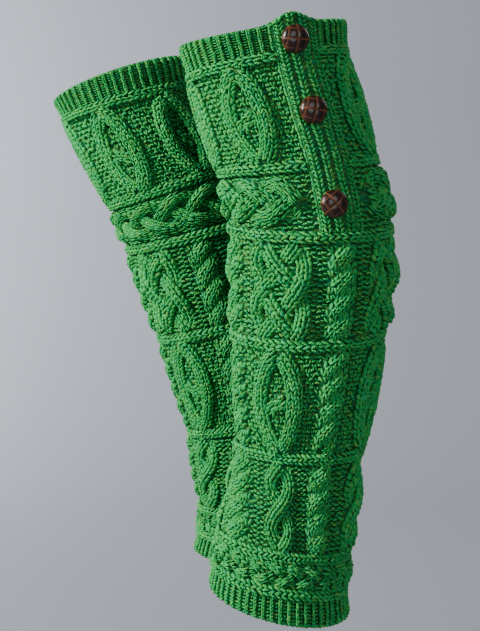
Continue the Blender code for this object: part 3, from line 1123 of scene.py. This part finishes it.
def new_group(name: str, inputs: dict, output: tuple[str, str]) -> tuple[NodeKit, dict, Socket]:
    """Starts a shader node group.

    Args:
        name: Its name.
        inputs: Its inputs' names, with their defaults, each a number or a colour.
        output: Its output's name and type.

    Returns:
        Its node kit, the sockets of its inputs by name, and the socket that its output is fed by.
    """
    tree = bpy.data.node_groups.new(name, "ShaderNodeTree")
    for label, default in inputs.items():
        kind = "NodeSocketColor" if isinstance(default, tuple) else "NodeSocketFloat"
        tree.interface.new_socket(label, in_out="INPUT", socket_type=kind).default_value = default
    tree.interface.new_socket(output[0], in_out="OUTPUT", socket_type=output[1])
    source, result = tree.nodes.new("NodeGroupInput"), tree.nodes.new("NodeGroupOutput")
    return NodeKit(tree), {label: source.outputs[label] for label in inputs}, result.inputs[output[0]]


def new_material(name: str, inputs: dict) -> tuple[Material, NodeKit, bpy.types.Node]:
    """Starts a material.

    Args:
        name: Its name.
        inputs: What its shader's sockets are set to, by name.

    Returns:
        The material, its node kit and its shader.
    """
    made = bpy.data.materials.new(name)
    made.use_nodes = True
    kit, shader = NodeKit(made.node_tree), made.node_tree.nodes["Principled BSDF"]
    for label, value in inputs.items():
        kit.feed(shader.inputs[label], value)
    return made, kit, shader


def heather_group() -> Tree:
    """The colour of heathered yarn: blended greens, by stitch tint and by streaks along each loop.

    Flecks are a noise of the flat place, drawn out along the loop, with the tint as its third axis. They,
    a slow noise of the place in space and a little of the tint are added up, and spread from the dark
    green to the light one. A second noise of the flat place blends in the warm and the cool green.

    Returns:
        The group.
    """
    greens = {
        "Dark": (0.01, 0.12, 0.03, 1),
        "Middle": (0.03, 0.3, 0.06, 1),
        "Light": (0.2, 0.5, 0.12, 1),
        "Warm": (0.12, 0.34, 0.05, 1),
        "Cool": (0.008, 0.3, 0.12, 1),
    }
    kit, given, result = new_group("heather", {**greens, "Tint": 0.0}, ("Color", "NodeSocketColor"))
    flat = kit.add("UVMap", uv_map="flat").outputs["UV"]
    parts = kit.add("SeparateXYZ", {"Vector": flat}).outputs
    streak = {
        "X": kit.math("MULTIPLY", parts["X"], 0.22),
        "Y": kit.math("MULTIPLY", parts["Y"], 0.8),
        "Z": kit.math("MULTIPLY", given["Tint"], 31.0),
    }
    streak = kit.add("CombineXYZ", streak).outputs["Vector"]
    flecks = kit.noise(streak, 1.0, 2.0)
    hues = kit.add(
        "TexNoise", {"Vector": streak, "W": 7.0, "Scale": 0.8, "Detail": 1.0}, noise_dimensions="4D"
    ).outputs["Fac"]
    drift = kit.noise(kit.add("TexCoord").outputs["Object"], 150.0, 2.0)
    fine = kit.math("MULTIPLY_ADD", flecks, 1.4, -0.7)
    slow = kit.math("MULTIPLY_ADD", drift, 0.5, 0.25)
    tint = kit.math("MULTIPLY", given["Tint"], 0.07)
    total = kit.math("ADD", kit.math("ADD", fine, slow), tint)
    mixed = kit.mix(kit.spread(total, 0.1, 0.5), given["Dark"], given["Middle"])
    mixed = kit.mix(kit.spread(total, 0.5, 1.0), mixed, given["Light"])
    for name, least, most in (("Warm", 0.56, 0.68), ("Cool", 0.44, 0.32)):
        mixed = kit.mix(kit.spread(hues, least, most, 0.55), mixed, given[name])
    kit.feed(result, mixed)
    return kit.tree


def ply_group() -> Tree:
    """The height of plied yarn: slanting ridges along each loop, roughened by fine fibres.

    Returns:
        The group.
    """
    inputs = {"Ridges": 1.0, "Fibres": 0.6}
    kit, given, result = new_group("ply_twist", inputs, ("Height", "NodeSocketFloat"))
    flat = kit.add("UVMap", uv_map="flat").outputs["UV"]
    turned = kit.add("Mapping", {"Vector": flat, "Rotation": (0, 0, math.radians(38))}).outputs["Vector"]
    wave = kit.add("TexWave", {"Vector": turned, "Scale": 0.26, "Distortion": 0.6}).outputs["Fac"]
    fibre = kit.noise(kit.add("TexCoord").outputs["Object"], 1700.0, 2.0)
    ridges = kit.math("MULTIPLY", wave, given["Ridges"])
    kit.feed(result, kit.math("ADD", ridges, kit.math("MULTIPLY", fibre, given["Fibres"])))
    return kit.tree


@dataclass(frozen=True)
class WoolFinish:
    """Heathered green worsted wool. Bump is the depth of its plies and fibres in metres."""

    name: str
    dark: Colour
    middle: Colour
    light: Colour
    bump: float
    ridges: float
    roughness: float = 0.85
    sheen: float = 0.12

    def material(self, heather: Tree, ply: Tree) -> Material:
        """Builds the finish.

        Args:
            heather: The colour group.
            ply: The height group.

        Returns:
            The material.
        """
        made, kit, shader = new_material(
            self.name,
            {
                "Roughness": self.roughness,
                "Sheen Weight": self.sheen,
                "Sheen Roughness": 0.5,
                "Sheen Tint": self.light.rgba(),
                "Specular IOR Level": 0.18,
            },
        )
        colours = {
            "Dark": self.dark.rgba(),
            "Middle": self.middle.rgba(),
            "Light": self.light.rgba(),
            "Tint": kit.add("Attribute", attribute_name="tint").outputs["Fac"],
        }
        colour = kit.add("Group", node_tree=heather)
        height = kit.add("Group", node_tree=ply)
        for name, value in colours.items():
            kit.feed(colour.inputs[name], value)
        height.inputs["Ridges"].default_value = self.ridges
        kit.feed(shader.inputs["Base Color"], colour.outputs["Color"])
        kit.feed(shader.inputs["Normal"], kit.bump(height.outputs["Height"], 0.8, self.bump))
        return made


@dataclass(frozen=True)
class LeatherFinish:
    """Polished dark-brown leather, worn tan along its seams, by the mesh's edge values."""

    name: str
    panel: Colour = Colour(0.006, 0.0022, 0.0016)
    warm: Colour = Colour(0.024, 0.006, 0.0025)
    worn: Colour = Colour(0.16, 0.045, 0.01)

    def material(self) -> Material:
        """Builds the finish: two browns by noise, tan by the edge value, pores in bump.

        Returns:
            The material.
        """
        made, kit, shader = new_material(
            self.name, {"Coat Weight": 0.15, "Coat Roughness": 0.2, "Specular IOR Level": 0.3}
        )
        place = kit.add("TexCoord").outputs["Object"]
        clouds = kit.noise(place, 260.0, 4.0)
        browns = kit.mix(kit.spread(clouds, 0.42, 0.68), self.panel.rgba(), self.warm.rgba())
        edge = kit.add("Attribute", attribute_name="edge").outputs["Fac"]
        worn = kit.math("MULTIPLY", edge, kit.math("ADD", clouds, 0.45))
        worn.node.use_clamp = True
        pores = kit.add("TexVoronoi", {"Vector": place, "Scale": 1900.0}).outputs["Distance"]
        kit.feed(shader.inputs["Base Color"], kit.mix(worn, browns, self.worn.rgba()))
        kit.feed(shader.inputs["Roughness"], kit.math("MULTIPLY_ADD", worn, 0.25, 0.3))
        kit.feed(shader.inputs["Normal"], kit.bump(pores, 0.35, 0.00012))
        return made


@dataclass
class Finishes:
    """The finishes of the whole pair, built once."""

    stitches: Material
    # The ground's finish is the same green yarn made darker: painted shade on the tube and slab that lie
    # under the stitches.
    ground: Material
    leather: Material

    @classmethod
    def build(cls) -> "Finishes":
        """Builds the node groups and the materials that use them.

        Returns:
            The finishes.
        """
        heather, ply = heather_group(), ply_group()
        yarn = WoolFinish(
            "green_yarn",
            dark=Colour(0.005, 0.125, 0.028),
            middle=Colour(0.014, 0.27, 0.054),
            light=Colour(0.09, 0.48, 0.11),
            bump=0.0004,
            ridges=1.0,
        )
        # A darker copy of the yarn: its colours are painted shade for the knit that shows between the
        # stitches.
        shade = WoolFinish(
            "green_yarn_ground",
            dark=Colour(0.003, 0.04, 0.01),
            middle=Colour(0.006, 0.08, 0.02),
            light=Colour(0.015, 0.13, 0.03),
            bump=0.0005,
            ridges=1.4,
        )
        leather = LeatherFinish("brown_leather")
        return cls(yarn.material(heather, ply), shade.material(heather, ply), leather.material())


@dataclass
class Tube:
    """The knitted tube itself: a thin closed shell, with the cables as low swells under their stitches."""

    form: LegForm
    chart: Chart
    columns: int = 132
    row_step: float = 3.4
    inner_rows: int = 20
    rim: float = 0.6
    under: float = 0.88
    ridge_height: float = 3.2
    below_stitches: float = 0.6

    def outer_lift(self, x: Array, down: Array) -> Array:
        """How far the outer face stands out: a share of the cables' and the ridges' heights.

        Args:
            x: Places across the chart.
            down: Places down the chart.

        Returns:
            The heights above the part's plain wall. A ridge is a half ellipse.
        """
        lift = self.chart.strand_lift(from_placket(x), down)
        for middle in RIDGES:
            share = np.clip(1 - ((down - middle) / (RIDGE_WIDTH / 2)) ** 2, 0, 1)
            lift = np.maximum(lift, self.ridge_height * np.sqrt(share))
        lift = lift * self.chart.beside_placket(x, down)
        return self.under * lift - self.below_stitches - SINK + self.chart.settle(x, down)

    def build(self, material: Material) -> Piece:
        """Builds the shell: an outer face with its lift, a plain inner face, and rounded edges between.

        Args:
            material: The yarn of the ground, darkened as painted shade.

        Returns:
            The object.
        """
        rows = round(LENGTH / self.row_step) + 1
        down = np.linspace(self.rim, LENGTH - self.rim, rows)
        inner_down = np.linspace(LENGTH - self.rim, self.rim, self.inner_rows)
        x = np.arange(self.columns) * CHART_WIDTH / self.columns
        outer = self.form.place(x, down[:, None], self.outer_lift(*np.broadcast_arrays(x, down[:, None])))
        inner = self.form.place(x, inner_down[:, None], -WALL)
        top, bottom = (self.form.place(x, end, -WALL / 2)[None] for end in (0.0, LENGTH))
        points = np.concatenate([top, outer, bottom, inner]).reshape(-1, 3)
        rings = rows + self.inner_rows + 2
        faces = tube_faces(rings + 1, self.columns, self.form.hand < 0) % (rings * self.columns)
        built = add_mesh(f"{self.form.name}_knit_tube", points, faces.tolist(), material)
        flat_down = np.concatenate([[0.0], down, [LENGTH], inner_down]).repeat(self.columns)
        add_flat(built, np.stack([np.tile(x, rings), flat_down], axis=-1))
        return built


@dataclass
class Placket:
    """The ribbed button band: a slab that lies on the wall, under columns of stitches."""

    form: LegForm
    works: StitchWorks
    steps: int = 60
    sides: int = 24
    start: float = 0.3
    rounding: float = 2.5
    first_rib_at: float = -8.4
    row: float = 2.9
    rib_half: float = 1.45
    rib_lean: float = 0.62
    rib_slope: float = 0.45
    rib_pair: Loop = Loop(2.3, 1.05, 1.8, 0.3)
    gap_bump: Loop = Loop(1.2, 0.7, 1.1)
    peak_chain: Loop = Loop(2.2, 1.2, 1.6)
    side_chain: Loop = Loop(2.2, 0.8, 1.4)
    pushed_by: float = 1.2

    def slab(self, material: Material) -> Piece:
        """Builds the slab as a closed tube of flattened rounds along the wall.

        Each round runs across the width at the slab's foot and back over it, with rounded sides: its
        sine and cosine are raised to powers below 1. At the top its sides lag by a square of x.

        Args:
            material: The yarn of the ground, darkened as painted shade.

        Returns:
            The object.
        """
        half, tall = PLACKET_WIDTH / 2, PLACKET_WALL
        turn = np.linspace(0, 2 * math.pi, self.sides, endpoint=False)
        across = half * np.sign(np.cos(turn)) * np.abs(np.cos(turn)) ** 0.4
        out = PLACKET_GAP + tall * (0.5 + 0.5 * np.sign(np.sin(turn)) * np.abs(np.sin(turn)) ** 0.6)
        share = np.linspace(0, 1, self.steps)[:, None]
        close = np.clip(np.minimum(share, 1 - share) * self.steps / 3, 0.02, 1) ** 0.5
        down = self.start + share * (PLACKET_END - self.start)
        middle = PLACKET_GAP + tall / 2
        arch = self.rounding * (across / half) ** 2 * np.clip(1 - down / 15, 0, 1)
        points = self.form.place(across * close, down + arch, middle + (out - middle) * close)
        faces = capped_faces(self.steps, self.sides, turned=self.form.hand > 0)
        built = add_mesh(f"{self.form.name}_placket_band", points.reshape(-1, 3), faces, material)
        add_flat(built, np.stack([np.tile(across, self.steps), np.repeat(down, self.sides)], axis=-1))
        return built

    def stitches(self) -> Stitches:
        """The band's stitches: ribs of paired loops, purl bumps between, and a chain over its peak.

        The ribs stand a pitch apart, and are pushed aside round each button by a bell curve of the
        distance down. The last one lies past the slab's edge, on the knit that rises to it.

        Returns:
            The stitches.
        """
        works = self.works
        pitch = (LAST_RIB_AT - self.first_rib_at) / (PLACKET_RIBS - 1)
        rows = round(PLACKET_END / self.row)
        crest = PLACKET_GAP + PLACKET_WALL
        down = 1.6 + (np.arange(rows) + 0.3) * (PLACKET_END + 1.0) / rows
        down, rib = np.meshgrid(down, np.arange(PLACKET_RIBS), indexing="ij")
        x = self.first_rib_at + rib * pitch + self.pushed(rib, down)
        out = np.where(rib == PLACKET_RIBS - 1, crest - 0.8, crest + 0.3)
        made = []
        for side in (-1, 1):
            lean = -side * self.rib_lean + works.noise(0.07, x.shape)
            slope, tint = -side * self.rib_slope, works.row_tint(down, x)
            beside = x + side * self.rib_half
            made.append(works.lay(beside, down, out, lean, self.rib_pair, slope=slope, tint=tint))
        gaps, level = (x[:, :-1] + x[:, 1:]) / 2, down[:, :-1]
        for shift in (-0.6, 0.6):
            tint = works.row_tint(level, gaps + shift)
            angle = math.pi / 2 + 0.4 * shift
            made.append(works.lay(gaps + shift, level + shift, crest - 1.0, angle, self.gap_bump, tint=tint))
        x = np.linspace(-PLACKET_WIDTH / 2, PLACKET_WIDTH / 2, 9)
        down = 0.5 + 2.2 * (2 * x / PLACKET_WIDTH) ** 2
        for out in (crest - 0.6, crest - 2.2):
            made.append(works.lay(x, down, out, math.pi / 2, self.peak_chain))
        down = np.arange(rows) * (PLACKET_END - 1) / rows + 3.5
        for shift, out, angle in ((0.9, crest - 0.7, -0.2), (-0.5, crest - 1.5, 0.2)):
            made.append(works.lay(shift - PLACKET_WIDTH / 2, down, out, angle, self.side_chain, slope=0.8))
        return Stitches.joined(made)

    def pushed(self, rib: Array, down: Array) -> Array:
        """How far the buttons push each rib sideways, a bell curve of the distance down, in mm."""
        near = sum(bell(down - at, 9.0) for _, at in BUTTONS_AT)
        return near * np.select([rib == 1, rib == 2], [-self.pushed_by, self.pushed_by], 0.0)


@dataclass
class Button:
    """A domed leather button, quilted by a cross and a square frame of seams with worn tan edges."""

    form: LegForm
    number: int
    x: float
    down: float
    cross_turn: float
    radius: float = 9.6
    height: float = 7.2
    rings: int = 26
    spokes: int = 96
    pole: float = 0.004
    rim_height: float = 2.6
    groove: float = 0.4
    groove_half: float = 0.2
    frame_at: float = 0.68
    frame_share: float = 0.5
    puff: float = 0.35
    skirt_wear: float = 0.35
    # The skirt's profile below the dome: heights in mm, and shares of the radius.
    skirt: tuple = ((2.0, 1.0), (1.1, 0.97), (0.3, 0.9), (0.0, 0.86), (0.0, 0.4), (0.0, 0.01))

    def seams(self, x: Array, y: Array) -> Array:
        """The distances to the four seam lines: two of the cross, which bend as sines, and two of the frame.

        Args:
            x: Places across the button, in mm.
            y: Places up the button, in mm.

        Returns:
            The distances, of shape (4,) and the places' own.
        """
        cos, sin = math.cos(self.cross_turn), math.sin(self.cross_turn)
        p, q = x * cos + y * sin, -x * sin + y * cos
        bend = np.sin(q / self.radius * 2.2)
        frame = self.frame_at * self.radius
        lines = (
            p - 0.3 * bend,
            q + 0.25 * np.sin(p / self.radius * 2.5),
            np.abs(p) - frame - 0.12 * q * np.sign(p) + 0.25 * bend,
            np.abs(q) - frame + 0.12 * p * np.sign(q),
        )
        return np.abs(np.stack(lines))

    def cover(self) -> tuple[Array, Array]:
        """The cover's points round the button's own axis, and how worn each one is.

        The dome's height falls as an ellipse of the radius. Along its seams it has grooves, each a bell
        curve of the distance to its line, with puffed panels between, and it is most worn just beside
        the grooves. The skirt turns its profile round the axis.

        Returns:
            Points of shape (rings, spokes, 3) in mm, and their wear from 0 to 1.
        """
        share = np.sin(np.linspace(0, math.pi / 2, self.rings))
        share[0] = self.pole
        turn = np.arange(self.spokes) * 2 * math.pi / self.spokes
        r, a = np.meshgrid(share, turn, indexing="ij")
        x, y = r * np.cos(a) * self.radius, r * np.sin(a) * self.radius
        near = self.seams(x, y)
        shown = np.array([1.0, 1.0, self.frame_share, self.frame_share])[:, None, None]
        seam = (shown * bell(near, self.groove_half)).max(0)
        dome = self.rim_height + (self.height - self.rim_height) * np.sqrt(np.clip(1 - r**2.4, 0, 1))
        puff = self.puff * np.minimum(1, near.min(0) / 2.0) ** 0.6
        height = dome - self.groove * seam * (1 - r**6) + puff * (1 - r**4)
        wear = (shown * bell(near - 0.1, 0.32)).max(0) + 0.3 * bell(1 - r, 0.03)
        low, wide = (np.array(column)[:, None] for column in zip(*self.skirt))
        wide = wide * self.radius
        skirt = np.stack(np.broadcast_arrays(wide * np.cos(turn), wide * np.sin(turn), low), axis=-1)
        points = np.concatenate([np.stack([x, y, height], axis=-1), skirt])
        return points, np.concatenate([wear, np.full(skirt.shape[:2], self.skirt_wear)])

    def build(self, material: Material) -> Piece:
        """Builds the button, with its axis square to the knit under it.

        Args:
            material: The leather.

        Returns:
            The object.
        """
        points, wear = self.cover()
        x, down = self.x + np.array([0.0, 1.0, 0.0]), self.down + np.array([0.0, 0.0, 1.0])
        ahead = self.form.place(x, down, BUTTON_OUT)
        out = np.cross(ahead[1] - ahead[0], ahead[2] - ahead[0]) * -self.form.hand
        out /= np.linalg.norm(out)
        right = np.cross([0.0, 0.0, 1.0], out)
        right /= np.linalg.norm(right)
        placed = ahead[0] + points.reshape(-1, 3) @ np.stack([right, np.cross(out, right), out])
        faces = capped_faces(len(points), self.spokes, turned=True)
        built = add_mesh(f"{self.form.name}_leather_button_{self.number}", placed, faces, material)
        add_values(built, "edge", wear.ravel())
        return built


@dataclass
class LegWarmer:
    """One leg warmer: its tube, its stitches, its placket and its buttons."""

    form: LegForm
    chart: Chart
    finishes: Finishes
    button_turns: tuple = (0.0, -0.12, 0.75)

    def join(self, piece: Piece, slot: Slot, *nodes: str) -> Piece:
        """Joins a piece to the part.

        Args:
            piece: The piece.
            slot: Not used.
            nodes: The nodes that it stands for, without the leg warmer's name.

        Returns:
            The piece.
        """
        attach(piece, "root")
        if nodes:
            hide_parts(*(f"{self.form.name}_{node}" for node in nodes))
        LOG.info("%s: %d points", piece.name, len(piece.data.vertices))
        return piece

    def stitched(self, label: str, batch: Stitches) -> Piece:
        """Builds a batch of stitches as a piece of the part."""
        piece = stitch_mesh(f"{self.form.name}_{label}", self.form, batch, self.finishes.stitches)
        return self.join(piece, Slot.WOOL)

    def dress(self) -> None:
        """Builds every piece, and says what each one rides on and stands for."""
        works = StitchWorks(self.chart, np.random.default_rng(self.form.seed))
        # The tube and the slab take the darker ground finish, whose colour is painted shade under the
        # stitches.
        tube = Tube(self.form, self.chart).build(self.finishes.ground)
        self.join(tube, Slot.WOOL, "cuff", "cable_panel", "hem")
        laid = [self.stitched(label, batch) for label, batch in works.batches().items()]
        placket = Placket(self.form, works)
        slab = self.join(placket.slab(self.finishes.ground), Slot.WOOL, "placket")
        band = self.stitched("placket_stitches", placket.stitches())
        for number, ((x, down), turn) in enumerate(zip(BUTTONS_AT, self.button_turns), 1):
            button = Button(self.form, number, x, down, turn).build(self.finishes.leather)
            self.join(button, Slot.LEATHER, f"button_{number}")


@dataclass(frozen=True)
class Lamp:
    """A round area light, in metres and watts, that faces its aim."""

    name: str
    at: tuple
    size: float
    power: float
    colour: Colour = Colour(0.95, 0.97, 1.0)
    aim: tuple = (0.0, 0.05, -0.2)

    def build(self) -> None:
        """Builds the light, which the camera doesn't see."""
        lamp = bpy.data.lights.new(self.name, "AREA")
        lamp.shape = "DISK"
        lamp.size = self.size
        lamp.energy = self.power
        lamp.color = self.colour.rgba()[:3]
        built = bpy.data.objects.new(self.name, lamp)
        built.location = self.at
        built.rotation_euler = (Vector(self.aim) - Vector(self.at)).to_track_quat("-Z", "Y").to_euler()
        built.visible_camera = False
        bpy.context.scene.collection.objects.link(built)


@dataclass
class Studio:
    """The floor and backdrop, the lights and the camera, in metres."""

    floor_z: float = -0.56
    front_y: float = -2.5
    back_y: float = 1.5
    wall_top: float = 2.6
    bend: float = 0.6
    half_width: float = 3.0
    lens: float = 79.9
    camera_at: tuple = (-0.0155, -1.0, -0.0964)
    pitch: float = 5.9
    sky: Colour = Colour(0.82, 0.88, 0.95)
    sky_strength: float = 0.22
    lamps: tuple = (
        Lamp("key", (-1.7, -0.68, 0.72), 0.5, 116.0, Colour(1.0, 0.98, 0.95)),
        Lamp("fill", (0.6, -2.0, 0.5), 1.4, 20.0),
        Lamp("rim", (-1.4, 0.5, 0.9), 1.0, 8.0),
        Lamp("back", (0.9, 1.1, 0.5), 0.7, 6.0),
        Lamp("wall", (-1.2, 0.95, -0.1), 0.5, 34.0, aim=(-0.7, 1.5, -0.1)),
    )

    def backdrop(self) -> None:
        """A sheet that runs flat along the floor, then up a quarter circle to the wall."""
        turn = np.linspace(0, math.pi / 2, 24)
        curve_y = self.back_y - self.bend + self.bend * np.sin(turn)
        curve_z = self.bend - self.bend * np.cos(turn)
        y = np.concatenate([[self.front_y], curve_y, [self.back_y]])[:, None]
        z = np.concatenate([[0.0], curve_z, [self.wall_top]])[:, None] + self.floor_z
        x = np.array([-self.half_width, self.half_width])
        points = np.stack(np.broadcast_arrays(x, y, z), axis=-1).reshape(-1, 3) / MM
        faces = [(2 * r, 2 * r + 1, 2 * r + 3, 2 * r + 2) for r in range(len(y) - 1)]
        made, _, _ = new_material("pale_backdrop", {"Base Color": (0.2, 0.215, 0.24, 1), "Roughness": 0.9})
        add_mesh("backdrop", points, faces, made)

    def build(self) -> None:
        """Builds the stage, the lights, the world and the camera."""
        self.backdrop()
        for lamp in self.lamps:
            lamp.build()
        world = bpy.data.worlds.new("studio")
        world.use_nodes = True
        background = world.node_tree.nodes["Background"]
        background.inputs["Color"].default_value = self.sky.rgba()
        background.inputs["Strength"].default_value = self.sky_strength
        bpy.context.scene.world = world
        camera = bpy.data.cameras.new("camera")
        camera.lens = self.lens
        camera.sensor_width = 36.0
        camera.clip_start = 0.01
        built = bpy.data.objects.new("camera", camera)
        built.location = self.camera_at
        built.rotation_euler = (math.radians(90 - self.pitch), 0, 0)
        bpy.context.scene.collection.objects.link(built)
        bpy.context.scene.camera = built


def main() -> None:
    """Builds the studio and both leg warmers, in order."""
    Studio().build()
    finishes = Finishes.build()
    for form in (LEFT, RIGHT):
        LegWarmer(form, Chart(form.lay), finishes).dress()


if __name__ == "__main__":
    main()
